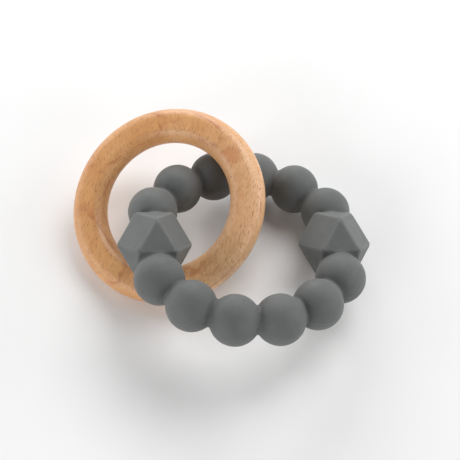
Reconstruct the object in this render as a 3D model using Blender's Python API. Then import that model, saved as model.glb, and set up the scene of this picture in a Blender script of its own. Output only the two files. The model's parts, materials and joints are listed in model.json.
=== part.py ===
"""Teething ring: a loop of soft silicone beads linked through a turned beech ring.

Lengths are in metres and +Z is up. The object rests on a table at z = 0: the beech ring leans on
the far side of the loop, the left faceted bead stands on the beech ring, and the far right of the
loop touches the table.

The silicone loop is one moulding in real life. Here it is split at its necks, so that every bead
is a body of its own and every neck can bend as the living hinge that it is.
"""
import math

import bmesh
import bpy
from mathutils import Matrix, Vector

MM = 0.001

# Silicone loop: two faceted beads face each other, with an arc of round beads on either side.
LOOP_RADIUS = 34.25 * MM                 # loop centre to the centre of every ball
BALL_RADIUS = 8.5 * MM
BALLS_PER_ARC = 6
FACETED_ORBIT = 30.9 * MM                # loop centre to the centre of a faceted bead
FACETED_RADIUS = 13.0 * MM               # bead centre to a sharp corner, before rounding
FACETED_ROUNDING = 0.9 * MM              # width of the bevel along its edges
FACETED_STEP = math.radians(27.3)        # round the loop, from a faceted bead to the next ball
BALL_STEP = (math.pi - 2 * FACETED_STEP) / (BALLS_PER_ARC - 1)
NECK_SLIT = 0.6 * MM                     # room for the neck between two balls to bend
FACETED_SLIT = 0.9 * MM                  # the same where a ball meets a faceted bead's wide face

# Beech ring: a narrow flat on each face, and elliptical sides.
WOOD_OUTER_RADIUS = 35.0 * MM
WOOD_INNER_RADIUS = 22.7 * MM
WOOD_THICKNESS = 10.0 * MM
WOOD_FLAT = 3.0 * MM

# How the two rings lie against each other on the table. A lean is the compass direction, from
# +X towards +Y, in which a ring's axis tips away from upright.
LOOP_CENTRE = Vector((8.28, -6.85, 17.88)) * MM
LOOP_TILT = math.radians(16.0)
LOOP_LEAN = math.radians(46.02)
WOOD_OFFSET = Vector((-24.96, 21.16, -1.95)) * MM
WOOD_TILT = math.radians(21.19)
WOOD_LEAN = math.radians(227.29)

# The beech ring lifts about a line through the left faceted bead, given in the loop's own axes:
# a point on it, and how steeply it climbs towards the loop's centre.
LIFT_POINT = Vector((-30.9, 0.0, -4.0)) * MM
LIFT_CLIMB = math.radians(20.0)

# Fineness of the meshes.
BALL_SEGMENTS = 24
BALL_RINGS = 14
WOOD_STEPS = 72
WOOD_SIDE_STEPS = 10
BEVEL_SEGMENTS = 2


def clear_scene():
    for item in list(bpy.data.objects):
        bpy.data.objects.remove(item, do_unlink=True)


def make_material(name, colour, roughness):
    material = bpy.data.materials.new(name)
    material.use_nodes = True
    shader = material.node_tree.nodes["Principled BSDF"]
    shader.inputs["Base Color"].default_value = (*colour, 1.0)
    shader.inputs["Roughness"].default_value = roughness
    shader.inputs["Metallic"].default_value = 0.0
    return material


def make_empty(name, matrix):
    empty = bpy.data.objects.new(name, None)
    empty.empty_display_size = 10 * MM
    empty.matrix_world = matrix
    bpy.context.collection.objects.link(empty)
    return empty


def lean_matrix(tilt, direction):
    """Turn that tips the Z axis by tilt towards a compass direction."""
    axis = Vector((-math.sin(direction), math.cos(direction), 0.0))
    return Matrix.Rotation(tilt, 4, axis)


def finish(name, shape, material, smooth_angle, parent, origin):
    """Turn a bmesh, given in the parent's axes, into an object with its origin at a point there."""
    bmesh.ops.recalc_face_normals(shape, faces=shape.faces)
    if shape.calc_volume(signed=True) < 0.0:
        bmesh.ops.reverse_faces(shape, faces=shape.faces)
    shape.transform(Matrix.Translation(-origin))
    mesh = bpy.data.meshes.new(name)
    shape.to_mesh(mesh)
    shape.free()
    mesh.shade_smooth()
    mesh.set_sharp_from_angle(angle=smooth_angle)
    mesh.materials.append(material)
    piece = bpy.data.objects.new(name, mesh)
    bpy.context.collection.objects.link(piece)
    piece.parent = parent
    piece.location = origin
    return piece


class Bead:
    """One bead's name, its angle round the loop, and whether it is a faceted one."""

    def __init__(self, name, angle, faceted=False):
        self.name = name
        self.angle = angle
        self.faceted = faceted
        orbit = FACETED_ORBIT if faceted else LOOP_RADIUS
        self.centre = Vector((math.cos(angle), math.sin(angle), 0.0)) * orbit
        self.place = Matrix.Translation(self.centre) @ Matrix.Rotation(angle, 4, "Z")


def loop_beads():
    """All beads in order round the loop: left faceted, far arc, right faceted, near arc."""
    arc = [FACETED_STEP + BALL_STEP * index for index in range(BALLS_PER_ARC)]
    beads = [Bead("faceted_bead_left", math.pi, faceted=True)]
    beads += [Bead(f"bead_back_{index + 1}", math.pi - turn) for index, turn in enumerate(arc)]
    beads.append(Bead("faceted_bead_right", 0.0, faceted=True))
    beads += [
        Bead(f"bead_front_{BALLS_PER_ARC - index}", -turn) for index, turn in enumerate(arc)
    ]
    return beads


def end_face(bead, neighbour):
    """Centre of the square face that a faceted bead turns to its neighbour, and its normal."""
    along_loop = Vector((-math.sin(bead.angle), math.cos(bead.angle), 0.0))
    side = 1 if along_loop.dot(neighbour.centre - bead.centre) > 0 else -1
    normal = along_loop * side
    return bead.centre + normal * FACETED_RADIUS / math.sqrt(2), normal


def neck_point(bead, neighbour):
    """Point that the neck between two beads bends about, on the line between their centres."""
    chord = neighbour.centre - bead.centre
    if bead.faceted:
        return bead.centre + chord.normalized() * FACETED_RADIUS / math.sqrt(2)
    if neighbour.faceted:
        return neighbour.centre - chord.normalized() * FACETED_RADIUS / math.sqrt(2)
    return bead.centre + chord / 2


def neck_cut(ball, neighbour):
    """Plane that ends a round bead at a neck: a point on it, and the normal out of the bead."""
    if neighbour.faceted:
        centre, normal = end_face(neighbour, ball)
        return centre + normal * FACETED_SLIT, -normal
    outward = (neighbour.centre - ball.centre).normalized()
    return neck_point(ball, neighbour) - outward * NECK_SLIT / 2, outward


def cut_flat(shape, point, outward):
    """Cut a closed shape by a plane, drop what lies beyond it, and close the cut."""
    everything = shape.verts[:] + shape.edges[:] + shape.faces[:]
    bmesh.ops.bisect_plane(
        shape, geom=everything, dist=1e-6 * MM, plane_co=point, plane_no=outward, clear_outer=True
    )
    rim = [edge for edge in shape.edges if edge.is_boundary]
    bmesh.ops.holes_fill(shape, edges=rim, sides=0)


def make_ball(bead, neighbours, origin, material, loop):
    """Round bead with a flat at each neck. Its poles lie along the loop, where the flats are."""
    shape = bmesh.new()
    bmesh.ops.create_uvsphere(
        shape, u_segments=BALL_SEGMENTS, v_segments=BALL_RINGS, radius=BALL_RADIUS
    )
    shape.transform(bead.place @ Matrix.Rotation(math.pi / 2, 4, "X"))
    for neighbour in neighbours:
        cut_flat(shape, *neck_cut(bead, neighbour))
    return finish(bead.name, shape, material, math.radians(35), loop, origin)


def make_faceted_bead(bead, origin, material, loop):
    """Cuboctahedron with its square ends along the loop and corners in, out, up and down."""
    corners = []
    for side in (1, -1):
        corners.append(Vector((side, 0.0, 0.0)))
        corners.append(Vector((0.0, 0.0, side)))
        for out in (0.5, -0.5):
            for up in (0.5, -0.5):
                corners.append(Vector((out, side * math.sqrt(0.5), up)))
    shape = bmesh.new()
    for corner in corners:
        shape.verts.new(corner * FACETED_RADIUS)
    bmesh.ops.convex_hull(shape, input=shape.verts)
    bmesh.ops.dissolve_limit(
        shape, angle_limit=math.radians(1), verts=shape.verts[:], edges=shape.edges[:]
    )
    shape.transform(bead.place)
    piece = finish(bead.name, shape, material, math.radians(30), loop, origin)
    bevel = piece.modifiers.new("rounded_edges", "BEVEL")
    bevel.width = FACETED_ROUNDING
    bevel.segments = BEVEL_SEGMENTS
    bevel.limit_method = "ANGLE"
    bevel.angle_limit = math.radians(20)


def make_loop(material, loop):
    """Every bead of the loop, each with its origin at the neck that it swings about.

    The left faceted bead carries two chains of beads, one round each way. They end on either side
    of the neck between the fifth and sixth beads of the far arc.
    """
    beads = loop_beads()
    count = len(beads)
    last_of_far_chain = BALLS_PER_ARC - 1
    for index, bead in enumerate(beads):
        before = beads[index - 1]
        after = beads[(index + 1) % count]
        if index == 0:
            origin = bead.centre
        elif index <= last_of_far_chain:
            origin = neck_point(bead, before)
        else:
            origin = neck_point(bead, after)
        if bead.faceted:
            make_faceted_bead(bead, origin, material, loop)
        else:
            make_ball(bead, (before, after), origin, material, loop)


def wood_section():
    """Outline of the beech ring's section: X is the distance from its axis, Z the height."""
    middle = (WOOD_OUTER_RADIUS + WOOD_INNER_RADIUS) / 2
    side_depth = (WOOD_OUTER_RADIUS - WOOD_INNER_RADIUS - WOOD_FLAT) / 2
    points = []
    for flat_end, start in ((WOOD_FLAT / 2, -math.pi / 2), (-WOOD_FLAT / 2, math.pi / 2)):
        for step in range(WOOD_SIDE_STEPS + 1):
            turn = start + math.pi * step / WOOD_SIDE_STEPS
            out = middle + flat_end + side_depth * math.cos(turn)
            points.append(Vector((out, 0.0, WOOD_THICKNESS / 2 * math.sin(turn))))
    return points


def make_wooden_ring(material, hinge, hinge_matrix):
    """Turned ring, in the axes of the line that it lifts about."""
    shape = bmesh.new()
    corners = [shape.verts.new(point) for point in wood_section()]
    edges = [shape.edges.new((corners[index - 1], corner)) for index, corner in enumerate(corners)]
    bmesh.ops.spin(
        shape, geom=corners + edges, cent=(0.0, 0.0, 0.0), axis=(0.0, 0.0, 1.0),
        angle=2 * math.pi, steps=WOOD_STEPS, use_merge=True,
    )
    resting = Matrix.Translation(LOOP_CENTRE + WOOD_OFFSET) @ lean_matrix(WOOD_TILT, WOOD_LEAN)
    shape.transform(hinge_matrix.inverted() @ resting)
    origin = Vector((0.0, 0.0, 0.0))
    finish("wooden_ring", shape, material, math.radians(30), hinge, origin)


def build():
    clear_scene()
    silicone = make_material("grey_silicone", (0.125, 0.130, 0.130), 0.6)
    beech = make_material("beech", (0.60, 0.36, 0.18), 0.45)
    loop_matrix = Matrix.Translation(LOOP_CENTRE) @ lean_matrix(LOOP_TILT, LOOP_LEAN)
    lift_turn = Matrix.Rotation(-LIFT_CLIMB, 4, "Y")
    hinge_matrix = loop_matrix @ Matrix.Translation(LIFT_POINT) @ lift_turn
    make_loop(silicone, make_empty("loop_axes", loop_matrix))
    make_wooden_ring(beech, make_empty("lift_axis", hinge_matrix), hinge_matrix)


build()
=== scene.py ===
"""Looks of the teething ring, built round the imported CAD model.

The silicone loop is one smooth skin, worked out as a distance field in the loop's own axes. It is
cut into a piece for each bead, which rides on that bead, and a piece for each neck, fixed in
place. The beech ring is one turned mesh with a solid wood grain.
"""
import json
import math

import bmesh
import bpy
import numpy as np
from mathutils import Matrix, Vector

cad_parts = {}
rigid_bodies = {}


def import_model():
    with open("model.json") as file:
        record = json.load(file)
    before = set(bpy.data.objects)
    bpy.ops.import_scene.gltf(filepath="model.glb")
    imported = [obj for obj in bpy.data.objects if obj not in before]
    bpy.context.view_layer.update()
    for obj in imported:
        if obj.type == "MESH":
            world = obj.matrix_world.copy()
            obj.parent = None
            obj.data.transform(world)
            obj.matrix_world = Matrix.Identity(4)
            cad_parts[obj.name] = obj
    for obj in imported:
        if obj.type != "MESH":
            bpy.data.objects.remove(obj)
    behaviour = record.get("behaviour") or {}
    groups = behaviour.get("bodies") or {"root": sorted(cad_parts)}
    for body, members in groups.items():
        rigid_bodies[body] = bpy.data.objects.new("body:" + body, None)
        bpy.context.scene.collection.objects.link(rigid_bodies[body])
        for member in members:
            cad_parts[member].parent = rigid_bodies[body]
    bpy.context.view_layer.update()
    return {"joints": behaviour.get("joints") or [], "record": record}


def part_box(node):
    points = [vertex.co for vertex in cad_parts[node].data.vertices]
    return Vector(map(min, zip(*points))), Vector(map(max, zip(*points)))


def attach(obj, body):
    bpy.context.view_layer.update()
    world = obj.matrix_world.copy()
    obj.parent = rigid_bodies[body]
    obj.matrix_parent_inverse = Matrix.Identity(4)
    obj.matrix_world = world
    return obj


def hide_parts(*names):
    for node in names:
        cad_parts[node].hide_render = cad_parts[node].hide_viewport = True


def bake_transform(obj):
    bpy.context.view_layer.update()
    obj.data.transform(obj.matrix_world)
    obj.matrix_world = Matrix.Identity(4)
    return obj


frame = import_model()

# Shapes are worked out in millimetres, in each ring's own axes.
MM = 0.001

# Silicone loop, with the sizes of the CAD model.
LOOP_RADIUS = 34.25                              # loop centre to the centre of every ball
BALL_RADIUS = 8.5
BALLS_PER_ARC = 6
FACETED_ORBIT = 30.9                             # loop centre to the centre of a faceted bead
FACETED_RADIUS = 13.0
FACETED_STEP = math.radians(27.3)                # from a faceted bead to the next ball
BALL_STEP = (math.pi - 2 * FACETED_STEP) / (BALLS_PER_ARC - 1)
FACE_DISTANCE = FACETED_RADIUS / math.sqrt(2)    # bead centre to each square face
EDGE_SHARPNESS = 5.5                             # per mm; a larger value rounds the edges less
# Painted highlight: the rounded facet edges are lightened in colour, as if they caught the light.
EDGE_HIGHLIGHT_REACH = 0.4                                  # how far the paler edges reach onto the facets
NECK_FILLET = 1.4                                # how far the skin blends across a neck
PARTING_HEIGHT = 0.05                            # ridge that the two halves of the mould leave
PARTING_WIDTH = 0.16
PARTING_CUTS = (-0.3, -0.1, 0.1, 0.3)            # heights of extra corners, so the ridge has a shape

# Fineness of the silicone skin.
SKIN_VOXEL = 0.4
FIT_STEPS = 7
LAST_FIT_STEPS = 2                               # once more, after the parting cuts
CUT_SNAP = 0.02                                  # corners this close to a cut are used as they are
SLOPE_STEP = 0.02
ROUGH_FACETED_SIZE = 1.17 * FACE_DISTANCE        # ball that stands in for a faceted bead at first
FACETS_MATTER = 1.5 * FACETED_RADIUS             # facets change nothing further away than this

# Where a neck's own piece starts and ends.
NECK_REACH = 10.5                                # points further from its middle aren't in it
ROUND_NECK_HALF = 1.4                            # each way from its middle, between two balls
FACE_NECK_START = 0.05                           # from the square face of a faceted bead
FACE_NECK_END = 2.0

# One neck has no joint, since a tree of joints can't close a loop, and its two sides turn apart a
# little. A band under the skin covers the hairline that opens there.
LINING_REACH = 1.0
LINING_DEPTH = 0.08

# Beech ring, with the sizes of the CAD model.
WOOD_OUTER_RADIUS = 35.0
WOOD_INNER_RADIUS = 22.7
WOOD_THICKNESS = 10.0
WOOD_FLAT = 3.0
WOOD_CREST = 0.8                                 # from mid-height to each inner round-over's centre
WOOD_STEPS = 432
WOOD_SIDE_STEPS = 28
WOOD_FLAT_STEPS = 6

# How the board that the beech ring is turned from grew, in its grain axes: X along the grain,
# Y across it and Z up out of the ring.
GRAIN_DIRECTION = math.radians(66.0)             # from the ring's X axis to the grain
LAYER_SPACING = 3.4                              # one year's growth
LAYER_START = 4.4                                # height of one layer's edge at the ring's middle
LAYER_SLOPE = 0.06
BROAD_WOBBLE = 0.9
SMALL_WOBBLE = 0.3
LAYER_RISES = (                                  # along and across the grain, reach, and height
    (-1.3, 29.7, 24.0, 3.8),
    (-28.4, 5.5, 10.0, 1.7),
    (28.9, 6.9, 10.0, 1.7),
)


# ---------------------------------------------------------------------------------------------
# Places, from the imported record


def joint(child):
    """The record's joint that moves a body."""
    return next(item for item in frame["joints"] if item["child"] == child)


def pivot(child):
    return Vector(joint(child)["pos_m"])


def loop_axes():
    """The loop's own axes: X from the left faceted bead to the right one, Z along its axis."""
    centre = (pivot("bead_back_1") + pivot("faceted_bead_right")) / 2
    left = (pivot("bead_back_1") + pivot("bead_front_1")) / 2
    z_axis = Vector(joint("bead_back_1")["axis"]).normalized()
    if z_axis.z < 0:
        z_axis = -z_axis
    x_axis = centre - left
    x_axis = (x_axis - z_axis * x_axis.dot(z_axis)).normalized()
    turn = Matrix((x_axis, z_axis.cross(x_axis), z_axis)).transposed()
    return Matrix.Translation(centre) @ turn.to_4x4() @ Matrix.Scale(MM, 4)


def wood_axes():
    """The beech ring's own axes: Z along its axis, tipped the shortest way from upright."""
    low, high = (Vector(corner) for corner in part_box("wooden_ring"))
    face = next(item for item in frame["record"]["mounts"] if item["name"] == "wooden_ring_face")
    tip = Vector((0.0, 0.0, 1.0)).rotation_difference(Vector(face["axis"])).to_matrix().to_4x4()
    return Matrix.Translation((low + high) / 2) @ tip @ Matrix.Scale(MM, 4)


# ---------------------------------------------------------------------------------------------
# Material nodes


class Nodes:
    """Short ways to add and join the nodes of one material."""

    def __init__(self, name, place_attribute):
        self.material = bpy.data.materials.new(name)
        self.material.use_nodes = True
        self.tree = self.material.node_tree
        self.shader = self.tree.nodes["Principled BSDF"]
        attribute = self.add("ShaderNodeAttribute", attribute_name=place_attribute)
        self.place = attribute.outputs["Vector"]

    def add(self, kind, **settings):
        node = self.tree.nodes.new(kind)
        for key, value in settings.items():
            setattr(node, key, value)
        return node

    def feed(self, socket, value):
        """Join a node's output to a socket, or set the socket to a plain value."""
        if isinstance(value, bpy.types.NodeSocket):
            self.tree.links.new(value, socket)
        else:
            socket.default_value = value

    def math(self, operation, first, second=0.0):
        node = self.add("ShaderNodeMath", operation=operation)
        self.feed(node.inputs[0], first)
        self.feed(node.inputs[1], second)
        return node.outputs[0]

    def scaled_place(self, *scale):
        """The place with each part scaled. A noise read there is stretched the other way."""
        node = self.add("ShaderNodeVectorMath", operation="MULTIPLY")
        self.feed(node.inputs[0], self.place)
        self.feed(node.inputs[1], scale)
        return node.outputs["Vector"]

    def distance(self, first, second):
        node = self.add("ShaderNodeVectorMath", operation="DISTANCE")
        self.feed(node.inputs[0], first)
        self.feed(node.inputs[1], second)
        return node.outputs["Value"]

    def part(self, vector, axis):
        node = self.add("ShaderNodeSeparateXYZ")
        self.feed(node.inputs[0], vector)
        return node.outputs[axis]

    def noise(self, vector, scale, detail=2.0, roughness=0.5):
        node = self.add("ShaderNodeTexNoise")
        self.feed(node.inputs["Vector"], vector)
        self.feed(node.inputs["Scale"], scale)
        self.feed(node.inputs["Detail"], detail)
        self.feed(node.inputs["Roughness"], roughness)
        return node.outputs["Fac"]

    def ramp(self, value, low, high, to_low=0.0, to_high=1.0):
        """Smooth step from one range to another."""
        node = self.add("ShaderNodeMapRange", interpolation_type="SMOOTHSTEP")
        for name, item in (("Value", value), ("From Min", low), ("From Max", high)):
            self.feed(node.inputs[name], item)
        self.feed(node.inputs["To Min"], to_low)
        self.feed(node.inputs["To Max"], to_high)
        return node.outputs["Result"]

    def mix(self, factor, first, second):
        node = self.add("ShaderNodeMix", data_type="RGBA")
        self.feed(node.inputs["Factor"], factor)
        self.feed(node.inputs["A"], first)
        self.feed(node.inputs["B"], second)
        return node.outputs["Result"]

    def tint(self, colour, mask, strength, other):
        """Mix another colour in where the mask is 1, at most by the strength."""
        return self.mix(self.math("MULTIPLY", mask, strength), colour, other)

    def bump(self, height, distance, normal=None):
        node = self.add("ShaderNodeBump")
        self.feed(node.inputs["Height"], height)
        node.inputs["Distance"].default_value = distance
        node.inputs["Strength"].default_value = 1.0
        if normal is not None:
            self.feed(node.inputs["Normal"], normal)
        return node.outputs["Normal"]


def srgb(red, green, blue):
    """A colour given as display values from 0 to 255."""
    linear = [((part / 255 + 0.055) / 1.055) ** 2.4 for part in (red, green, blue)]
    return (*linear, 1.0)


SILICONE = srgb(96, 99, 98)
CLOUDED_SILICONE = srgb(101, 103, 102)
DUST = srgb(132, 134, 132)
PARTING_LINE = srgb(134, 137, 136)
# Painted highlight colour for the rounded edges of the faceted beads.
PAINTED_EDGE_HIGHLIGHT = srgb(140, 143, 141)

PALE_BEECH = srgb(232, 179, 122)
TAN_BEECH = srgb(218, 158, 100)
BEECH_BLOTCH = srgb(204, 141, 88)
# Cream is painted light over one half of the ring; brown makes the other half darker.
CREAM_BEECH_HIGHLIGHT = srgb(250, 216, 178)
BROWN_BEECH = srgb(204, 140, 80)
LATE_WOOD = srgb(194, 114, 68)
LAYER_EDGE = srgb(152, 84, 44)
FIBRE = srgb(200, 142, 90)
FLECK = srgb(146, 90, 50)
PORE = srgb(150, 98, 58)


def silicone_material():
    """Matte moulded silicone: a slightly cool grey with faint clouding and a velvety surface."""
    nodes = Nodes("matte_silicone", "place_mm")
    place = nodes.place
    cloud = nodes.ramp(nodes.noise(place, 0.09, detail=3.0), 0.35, 0.65)
    dust = nodes.ramp(nodes.noise(place, 2.2, detail=2.0, roughness=0.6), 0.70, 0.78)
    from_middle = nodes.math("ABSOLUTE", nodes.part(place, "Z"))
    line = nodes.ramp(from_middle, 0.05, 0.22, 1.0, 0.0)
    broken = nodes.ramp(nodes.noise(place, 0.35, detail=2.0), 0.45, 0.62)
    edges = nodes.add("ShaderNodeAttribute", attribute_name="edge").outputs["Fac"]
    colour = nodes.mix(cloud, SILICONE, CLOUDED_SILICONE)
    colour = nodes.tint(colour, dust, 0.12, DUST)
    colour = nodes.tint(colour, nodes.math("MULTIPLY", line, broken), 0.30, PARTING_LINE)
    # Painted highlight: the rounded facet edges are lightened, as if they caught the light.
    colour = nodes.tint(colour, edges, 0.30, PAINTED_EDGE_HIGHLIGHT)
    nodes.feed(nodes.shader.inputs["Base Color"], colour)
    patches = nodes.noise(place, 0.25, detail=3.0)
    nodes.feed(nodes.shader.inputs["Roughness"], nodes.ramp(patches, 0.3, 0.7, 0.56, 0.66))
    waves = nodes.bump(nodes.noise(place, 0.5, detail=2.0), 0.00012)
    fine_grain = nodes.noise(place, 6.0, detail=2.0, roughness=0.6)
    nodes.feed(nodes.shader.inputs["Normal"], nodes.bump(fine_grain, 0.00002, normal=waves))
    nodes.shader.inputs["Specular IOR Level"].default_value = 0.35
    nodes.shader.inputs["Sheen Weight"].default_value = 0.08
    nodes.shader.inputs["Sheen Roughness"].default_value = 0.5
    return nodes.material


def layer_height(nodes):
    """Height above a growth layer's edge. The layers lie almost flat, with a few rises, so on the
    rounded ring their edges show as pointed arches."""
    slope = nodes.math("MULTIPLY", nodes.part(nodes.place, "Y"), LAYER_SLOPE)
    height = nodes.math("ADD", nodes.part(nodes.place, "Z"), slope)
    flat_place = nodes.scaled_place(1.0, 1.0, 0.0)
    for along, across, reach, rise in LAYER_RISES:
        distance = nodes.distance(flat_place, (along, across, 0.0))
        height = nodes.math("SUBTRACT", height, nodes.ramp(distance, 0.0, reach, rise, 0.0))
    wobbles = (
        (BROAD_WOBBLE, nodes.scaled_place(0.05, 0.09, 0.09)),
        (SMALL_WOBBLE, nodes.scaled_place(0.3, 0.8, 0.8)),
    )
    for size, place in wobbles:
        height = nodes.math("ADD", height, nodes.math("MULTIPLY", nodes.noise(place, 1.0), size))
    mean_wobble = (BROAD_WOBBLE + SMALL_WOBBLE) / 2
    return nodes.math("SUBTRACT", height, LAYER_START + mean_wobble)


def beech_material():
    """Waxed beech: pale tan with reddish late wood, thin layer edges and short dark flecks."""
    nodes = Nodes("waxed_beech", "grain_mm")
    year = nodes.math("FRACT", nodes.math("DIVIDE", layer_height(nodes), LAYER_SPACING))
    late = nodes.math("MULTIPLY", nodes.ramp(year, 0.55, 0.94), nodes.ramp(year, 0.95, 1.0, 1.0, 0.0))
    edge = nodes.math("MULTIPLY", nodes.ramp(year, 0.86, 0.95), nodes.ramp(year, 0.955, 1.0, 1.0, 0.0))
    broken = nodes.ramp(nodes.noise(nodes.place, 0.22, detail=3.0), 0.42, 0.60, 0.10, 1.0)
    drift = nodes.noise(nodes.scaled_place(0.3, 1.0, 1.0), 0.09, detail=3.0)
    blotch = nodes.noise(nodes.scaled_place(0.6, 1.0, 1.0), 0.28, detail=2.0)
    fibre = nodes.noise(nodes.scaled_place(0.12, 1.3, 1.3), 2.0, detail=3.0, roughness=0.65)
    flecks = nodes.ramp(nodes.noise(nodes.scaled_place(0.42, 3.0, 3.0), 1.0, detail=1.0), 0.60, 0.68)
    pores = nodes.ramp(nodes.noise(nodes.scaled_place(1.0, 6.0, 6.0), 1.0, detail=1.0), 0.60, 0.70)
    across = nodes.part(nodes.place, "Y")
    colour = nodes.mix(nodes.ramp(drift, 0.35, 0.65), PALE_BEECH, TAN_BEECH)
    colour = nodes.tint(colour, nodes.ramp(blotch, 0.50, 0.72), 0.35, BEECH_BLOTCH)
    # Painted light: one half of the ring, across the grain, is lightened towards cream as if more light
    # fell there, and the other half is made darker and browner.
    colour = nodes.tint(colour, nodes.ramp(across, -WOOD_OUTER_RADIUS, 5.0, 1.0, 0.0), 0.40, CREAM_BEECH_HIGHLIGHT)
    colour = nodes.tint(colour, nodes.ramp(across, 5.0, WOOD_OUTER_RADIUS), 0.45, BROWN_BEECH)
    colour = nodes.tint(colour, nodes.math("MULTIPLY", late, broken), 0.65, LATE_WOOD)
    colour = nodes.tint(colour, nodes.math("MULTIPLY", edge, broken), 0.38, LAYER_EDGE)
    colour = nodes.tint(colour, nodes.ramp(fibre, 0.35, 0.70), 0.50, FIBRE)
    colour = nodes.tint(colour, flecks, 0.58, FLECK)
    colour = nodes.tint(colour, pores, 0.18, PORE)
    nodes.feed(nodes.shader.inputs["Base Color"], colour)
    nodes.feed(nodes.shader.inputs["Roughness"], nodes.ramp(fibre, 0.2, 0.8, 0.40, 0.52))
    along_fibre = nodes.bump(fibre, 0.00003)
    pitted = nodes.bump(nodes.math("SUBTRACT", 1.0, flecks), 0.00003, normal=along_fibre)
    nodes.feed(nodes.shader.inputs["Normal"], pitted)
    nodes.shader.inputs["Specular IOR Level"].default_value = 0.5
    nodes.shader.inputs["Coat Weight"].default_value = 0.35
    nodes.shader.inputs["Coat Roughness"].default_value = 0.30
    return nodes.material


# ---------------------------------------------------------------------------------------------
# Silicone loop


class Bead:
    """One bead of the loop, with its angle round the loop and its centre."""

    def __init__(self, name, angle, faceted=False):
        self.name = name
        self.angle = angle
        self.faceted = faceted
        orbit = FACETED_ORBIT if faceted else LOOP_RADIUS
        self.centre = np.array((math.cos(angle), math.sin(angle), 0.0)) * orbit


class Neck:
    """The neck between two beads, with the points where its own piece starts and ends."""

    def __init__(self, first, second):
        if second.faceted:
            first, second = second, first
        self.first = first
        self.second = second
        if first.faceted:
            along = np.array((-math.sin(first.angle), math.cos(first.angle), 0.0))
            along *= math.copysign(1.0, along @ (second.centre - first.centre))
            face = first.centre + along * FACE_DISTANCE
            self.start = face + along * FACE_NECK_START
            self.end = face + along * FACE_NECK_END
        else:
            chord = second.centre - first.centre
            along = chord / np.linalg.norm(chord)
            middle = (first.centre + second.centre) / 2
            self.start = middle - along * ROUND_NECK_HALF
            self.end = middle + along * ROUND_NECK_HALF
        self.middle = (self.start + self.end) / 2

    def share(self, points):
        """0 on the first bead's side, 1 on the second's, and between them inside the neck."""
        run = self.end - self.start
        return np.clip((points - self.start) @ run / (run @ run), 0.0, 1.0)

    def bodies(self):
        return frozenset((self.first.name, self.second.name))


def loop_beads():
    """All beads in order round the loop: left faceted, far arc, right faceted, near arc."""
    arc = [FACETED_STEP + BALL_STEP * index for index in range(BALLS_PER_ARC)]
    beads = [Bead("faceted_bead_left", math.pi, faceted=True)]
    beads += [Bead(f"bead_back_{index + 1}", math.pi - turn) for index, turn in enumerate(arc)]
    beads.append(Bead("faceted_bead_right", 0.0, faceted=True))
    beads += [
        Bead(f"bead_front_{BALLS_PER_ARC - index}", -turn) for index, turn in enumerate(arc)
    ]
    return beads


def facet_planes():
    """Normals and distances of a cuboctahedron's faces, with square ends along Y."""
    half = math.sqrt(0.5)
    tall, low = math.sqrt(2 / 3), math.sqrt(1 / 3)
    squares = [(0.0, 1.0, 0.0), (0.0, -1.0, 0.0)]
    squares += [(side * half, 0.0, up * half) for side in (1, -1) for up in (1, -1)]
    triangles = []
    for side in (1, -1):
        for end in (1, -1):
            triangles.append((side * tall, end * low, 0.0))
            triangles.append((0.0, end * low, side * tall))
    distances = [FACE_DISTANCE] * len(squares) + [FACETED_RADIUS * tall] * len(triangles)
    return np.array(squares + triangles), np.array(distances)


FACET_NORMALS, FACET_DISTANCES = facet_planes()


def own_place(bead, offset):
    """Offsets from a bead's centre, turned into the bead's own axes."""
    cosine, sine = math.cos(bead.angle), math.sin(bead.angle)
    return offset @ np.array(((cosine, -sine, 0.0), (sine, cosine, 0.0), (0.0, 0.0, 1.0)))


def bead_distance(bead, points):
    """Distance of points from one bead's surface, negative inside."""
    offset = points - bead.centre
    from_centre = np.linalg.norm(offset, axis=1)
    if not bead.faceted:
        return from_centre - BALL_RADIUS
    result = from_centre - FACE_DISTANCE
    near = from_centre < FACETS_MATTER
    own = own_place(bead, offset[near])
    over = EDGE_SHARPNESS * (own @ FACET_NORMALS.T - FACET_DISTANCES)
    top = over.max(axis=1)
    rounded = top + np.log(np.exp(over - top[:, None]).sum(axis=1))
    result[near] = rounded / EDGE_SHARPNESS
    return result


# Mask for the painted highlight on the faceted beads' edges.
def edge_closeness(beads, points):
    """1 on the rounded edges of the faceted beads, fading to 0 on their facets."""
    closeness = np.zeros(len(points))
    for bead in beads:
        if bead.faceted:
            offset = points - bead.centre
            over = np.sort(own_place(bead, offset) @ FACET_NORMALS.T - FACET_DISTANCES, axis=1)
            here = np.exp(-(((over[:, -1] - over[:, -2]) / EDGE_HIGHLIGHT_REACH) ** 2))
            here[np.linalg.norm(offset, axis=1) > FACETED_RADIUS] = 0.0
            closeness += here
    return closeness


def skin_distance(beads, points):
    """Distance from the whole skin, blended where two beads meet, less the parting ridge."""
    distances = np.sort(np.stack([bead_distance(bead, points) for bead in beads]), axis=0)[:2]
    overlap = np.maximum(NECK_FILLET - (distances[1] - distances[0]), 0.0)
    ridge = PARTING_HEIGHT * np.exp(-((points[:, 2] / PARTING_WIDTH) ** 2))
    return distances[0] - overlap**2 / (4 * NECK_FILLET) - ridge


def skin_slope(beads, points):
    """Gradient of the distance."""
    slope = np.empty_like(points)
    for axis in range(3):
        step = np.zeros(3)
        step[axis] = SLOPE_STEP
        ahead = skin_distance(beads, points + step)
        slope[:, axis] = (ahead - skin_distance(beads, points - step)) / (2 * SLOPE_STEP)
    return slope


def onto_skin(beads, points, steps):
    """Move points onto the skin along the gradient."""
    for _ in range(steps):
        slope = skin_slope(beads, points)
        distance = skin_distance(beads, points)
        points = points - slope * (distance / (slope * slope).sum(axis=1))[:, None]
    return points


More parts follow.
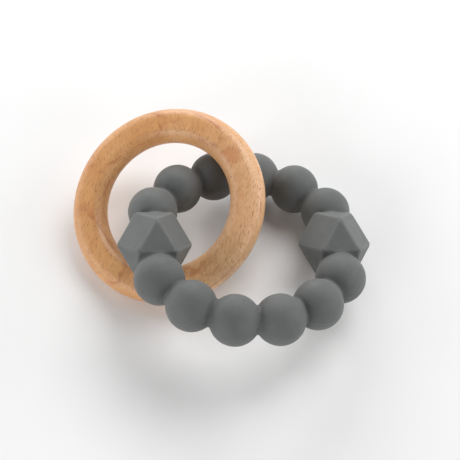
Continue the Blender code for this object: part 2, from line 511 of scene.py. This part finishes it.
def rough_skin(beads):
    """An even mesh close to the skin: balls joined by a voxel remesh, as a bmesh."""
    balls = bmesh.new()
    for bead in beads:
        size = ROUGH_FACETED_SIZE if bead.faceted else BALL_RADIUS
        bmesh.ops.create_icosphere(
            balls, subdivisions=5, radius=size, matrix=Matrix.Translation(bead.centre)
        )
    mesh = bpy.data.meshes.new("rough_skin")
    balls.to_mesh(mesh)
    balls.free()
    helper = bpy.data.objects.new("rough_skin", mesh)
    bpy.context.collection.objects.link(helper)
    remesh = helper.modifiers.new("remesh", "REMESH")
    remesh.mode = "VOXEL"
    remesh.voxel_size = SKIN_VOXEL
    evaluated = helper.evaluated_get(bpy.context.evaluated_depsgraph_get())
    shape = bmesh.new()
    shape.from_mesh(evaluated.to_mesh())
    bpy.data.objects.remove(helper, do_unlink=True)
    bpy.data.meshes.remove(mesh)
    return shape


def smooth_skin(beads):
    """The skin as corner points, face corner lists and normals."""
    shape = rough_skin(beads)
    corners = onto_skin(beads, np.array([corner.co for corner in shape.verts]), FIT_STEPS)
    for corner, place in zip(shape.verts, corners):
        corner.co = place
    for height in PARTING_CUTS:
        everything = shape.verts[:] + shape.edges[:] + shape.faces[:]
        bmesh.ops.bisect_plane(
            shape, geom=everything, dist=CUT_SNAP, plane_co=(0, 0, height), plane_no=(0, 0, 1)
        )
    points = onto_skin(beads, np.array([corner.co for corner in shape.verts]), LAST_FIT_STEPS)
    slope = skin_slope(beads, points)
    normals = slope / np.linalg.norm(slope, axis=1)[:, None]
    shape.verts.index_update()
    faces = [[corner.index for corner in face.verts] for face in shape.faces]
    shape.free()
    return points, faces, normals


def skin_zones(beads, necks, points):
    """Which piece each point belongs to: a bead's index, or the bead count plus a neck's."""
    zones = np.argmin(np.stack([bead_distance(bead, points) for bead in beads]), axis=0)
    for index, neck in enumerate(necks):
        near = np.linalg.norm(points - neck.middle, axis=1) < NECK_REACH
        share = neck.share(points)
        zones[near & (share <= 0.0)] = beads.index(neck.first)
        zones[near & (share >= 1.0)] = beads.index(neck.second)
        zones[near & (share > 0.0) & (share < 1.0)] = len(beads) + index
    return zones


def skin_piece(name, faces, points, normals, edges, axes, material):
    """One piece of the skin as an object, turned from the loop's axes into the shared frame."""
    used, corners = np.unique(np.concatenate(faces), return_inverse=True)
    ends = np.cumsum([len(face) for face in faces])[:-1]
    world = np.array(axes)
    mesh = bpy.data.meshes.new(name)
    mesh.from_pydata(
        points[used] @ world[:3, :3].T + world[:3, 3], [], np.split(corners, ends)
    )
    mesh.shade_smooth()
    turned = normals[used] @ world[:3, :3].T
    mesh.normals_split_custom_set_from_vertices(
        turned / np.linalg.norm(turned, axis=1)[:, None]
    )
    place = mesh.attributes.new("place_mm", "FLOAT_VECTOR", "POINT")
    place.data.foreach_set("vector", points[used].astype(np.float32).ravel())
    edge = mesh.attributes.new("edge", "FLOAT", "POINT")
    edge.data.foreach_set("value", edges[used].astype(np.float32))
    mesh.materials.append(material)
    piece = bpy.data.objects.new(name, mesh)
    bpy.context.collection.objects.link(piece)
    return piece


def make_lining(neck, faces, points, normals, edges, axes, material):
    """Band just under the skin, across the neck that has no joint."""
    run = neck.end - neck.start
    from_middle = np.abs((points - neck.middle) @ run) / np.linalg.norm(run)
    near = (from_middle < LINING_REACH) & (
        np.linalg.norm(points - neck.middle, axis=1) < NECK_REACH
    )
    band = [face for face in faces if all(near[corner] for corner in face)]
    name = f"neck_lining_{neck.first.name}_to_{neck.second.name}"
    sunk = points - normals * LINING_DEPTH
    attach(skin_piece(name, band, sunk, normals, edges, axes, material), neck.first.name)


def make_loop(material):
    axes = loop_axes()
    beads = loop_beads()
    joined = {frozenset((item["parent"], item["child"])) for item in frame["joints"]}
    around = [Neck(bead, beads[(index + 1) % len(beads)]) for index, bead in enumerate(beads)]
    necks = [neck for neck in around if neck.bodies() in joined]
    open_neck = next(neck for neck in around if neck.bodies() not in joined)
    points, faces, normals = smooth_skin(beads)
    zones = skin_zones(beads, necks, points)
    edges = edge_closeness(beads, points)
    groups = {}
    for face in faces:
        groups.setdefault(max(zones[corner] for corner in face), []).append(face)
    for index, bead in enumerate(beads):
        piece = skin_piece(f"skin_{bead.name}", groups[index], points, normals, edges, axes, material)
        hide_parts(bead.name)
        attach(piece, bead.name)
    for index, neck in enumerate(necks):
        name = f"neck_{neck.first.name}_to_{neck.second.name}"
        faces_here = groups[len(beads) + index]
        piece = skin_piece(name, faces_here, points, normals, edges, axes, material)
        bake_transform(piece)
    make_lining(open_neck, faces, points, normals, edges, axes, material)


# ---------------------------------------------------------------------------------------------
# Beech ring


def wood_section():
    """Outline of the ring's section: distance from its axis, and height.

    The outer side is one ellipse. The inner side is two round-overs that meet in a soft crest.
    """
    middle = (WOOD_OUTER_RADIUS + WOOD_INNER_RADIUS) / 2
    half_height = WOOD_THICKNESS / 2
    side_depth = (WOOD_OUTER_RADIUS - WOOD_INNER_RADIUS - WOOD_FLAT) / 2
    outline = []
    for step in range(WOOD_SIDE_STEPS + 1):
        turn = math.pi * (step / WOOD_SIDE_STEPS - 0.5)
        out = middle + WOOD_FLAT / 2 + side_depth * math.cos(turn)
        outline.append((out, half_height * math.sin(turn)))
    for step in range(1, WOOD_FLAT_STEPS):
        outline.append((middle + WOOD_FLAT * (0.5 - step / WOOD_FLAT_STEPS), half_height))
    crest_depth = math.sqrt(1 - (WOOD_CREST / (half_height + WOOD_CREST)) ** 2)
    for step in range(WOOD_SIDE_STEPS + 1):
        turn = math.pi * (step / WOOD_SIDE_STEPS - 0.5)
        height = -half_height * math.sin(turn)
        rise = (abs(height) + WOOD_CREST) / (half_height + WOOD_CREST)
        depth = side_depth * math.sqrt(max(1 - rise * rise, 0.0)) / crest_depth
        outline.append((middle - WOOD_FLAT / 2 - depth, height))
    for step in range(1, WOOD_FLAT_STEPS):
        outline.append((middle - WOOD_FLAT * (0.5 - step / WOOD_FLAT_STEPS), -half_height))
    return outline


def make_wooden_ring(material):
    axes = wood_axes()
    shape = bmesh.new()
    corners = [shape.verts.new((out, 0.0, height)) for out, height in wood_section()]
    edges = [shape.edges.new((corners[index - 1], corner)) for index, corner in enumerate(corners)]
    bmesh.ops.spin(
        shape, geom=corners + edges, cent=(0, 0, 0), axis=(0, 0, 1), angle=2 * math.pi,
        steps=WOOD_STEPS, use_merge=True,
    )
    bmesh.ops.recalc_face_normals(shape, faces=shape.faces)
    mesh = bpy.data.meshes.new("turned_beech_ring")
    shape.to_mesh(mesh)
    shape.free()
    grain = mesh.attributes.new("grain_mm", "FLOAT_VECTOR", "POINT")
    to_grain = Matrix.Rotation(-GRAIN_DIRECTION, 3, "Z")
    for corner, item in zip(mesh.vertices, grain.data):
        item.vector = to_grain @ corner.co
    mesh.transform(axes)
    mesh.shade_smooth()
    mesh.materials.append(material)
    ring = bpy.data.objects.new("turned_beech_ring", mesh)
    bpy.context.collection.objects.link(ring)
    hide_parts("wooden_ring")
    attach(ring, "wooden_ring")


# ---------------------------------------------------------------------------------------------
# Camera, floor and light, with lengths in metres

CAMERA_DISTANCE = 0.44207
CAMERA_AZIMUTH = math.radians(-0.46)
CAMERA_ELEVATION = math.radians(58.03)
CAMERA_ROLL = math.radians(-6.60)
CAMERA_TARGET = Vector((0.00372, -0.00039, 0.0180))
CAMERA_LENS = 101.1

FLOOR_REACH = 3.0                                # from its middle to each side
FLOOR_COLOUR = (0.93, 0.93, 0.93, 1.0)
WORLD_STRENGTH = 0.08
LAMP_DISTANCE = 1.2
LAMP_SIZE = 0.8


def looking(azimuth, elevation, roll=0.0):
    """Turn of a camera or lamp that looks at the object from that side."""
    tip = Matrix.Rotation(math.pi / 2 - elevation, 4, "X")
    return Matrix.Rotation(azimuth, 4, "Z") @ tip @ Matrix.Rotation(roll, 4, "Z")


def make_camera():
    camera = bpy.data.objects.new("camera", bpy.data.cameras.new("camera"))
    camera.data.lens = CAMERA_LENS
    turn = looking(CAMERA_AZIMUTH, CAMERA_ELEVATION, CAMERA_ROLL)
    back = Matrix.Translation((0.0, 0.0, CAMERA_DISTANCE))
    camera.matrix_world = Matrix.Translation(CAMERA_TARGET) @ turn @ back
    bpy.context.collection.objects.link(camera)
    bpy.context.scene.camera = camera


def make_floor():
    shape = bmesh.new()
    bmesh.ops.create_grid(shape, x_segments=1, y_segments=1, size=FLOOR_REACH)
    mesh = bpy.data.meshes.new("floor")
    shape.to_mesh(mesh)
    shape.free()
    paper = bpy.data.materials.new("pale_paper")
    paper.use_nodes = True
    shader = paper.node_tree.nodes["Principled BSDF"]
    shader.inputs["Base Color"].default_value = FLOOR_COLOUR
    shader.inputs["Roughness"].default_value = 0.9
    mesh.materials.append(paper)
    floor = bpy.data.objects.new("floor", mesh)
    bpy.context.collection.objects.link(floor)


def make_lamp(name, azimuth, elevation, power):
    """Round soft lamp, aimed at the object from a side: azimuth 0 is the front, 90 the right."""
    lamp = bpy.data.lights.new(name, "AREA")
    lamp.shape = "DISK"
    lamp.size = LAMP_SIZE
    lamp.energy = power
    holder = bpy.data.objects.new(name, lamp)
    turn = looking(math.radians(azimuth), math.radians(elevation))
    holder.matrix_world = turn @ Matrix.Translation((0.0, 0.0, LAMP_DISTANCE))
    bpy.context.collection.objects.link(holder)


def make_light():
    """A light tent: soft lamps low down on every side but the front, and one high at the back."""
    world = bpy.data.worlds.new("studio")
    world.use_nodes = True
    background = world.node_tree.nodes["Background"]
    background.inputs["Color"].default_value = (1.0, 1.0, 1.0, 1.0)
    background.inputs["Strength"].default_value = WORLD_STRENGTH
    bpy.context.scene.world = world
    make_lamp("front_left_light", azimuth=-45, elevation=20, power=5.8)
    make_lamp("left_light", azimuth=-90, elevation=20, power=3.6)
    make_lamp("back_left_light", azimuth=-135, elevation=20, power=3.2)
    make_lamp("back_light", azimuth=180, elevation=22, power=7.4)
    make_lamp("high_back_light", azimuth=135, elevation=50, power=7.2)
    make_lamp("right_light", azimuth=95, elevation=20, power=4.6)
    make_lamp("front_right_light", azimuth=45, elevation=20, power=3.5)


make_camera()
make_floor()
make_light()
make_loop(silicone_material())
make_wooden_ring(beech_material())
bpy.context.scene.view_settings.view_transform = "Standard"
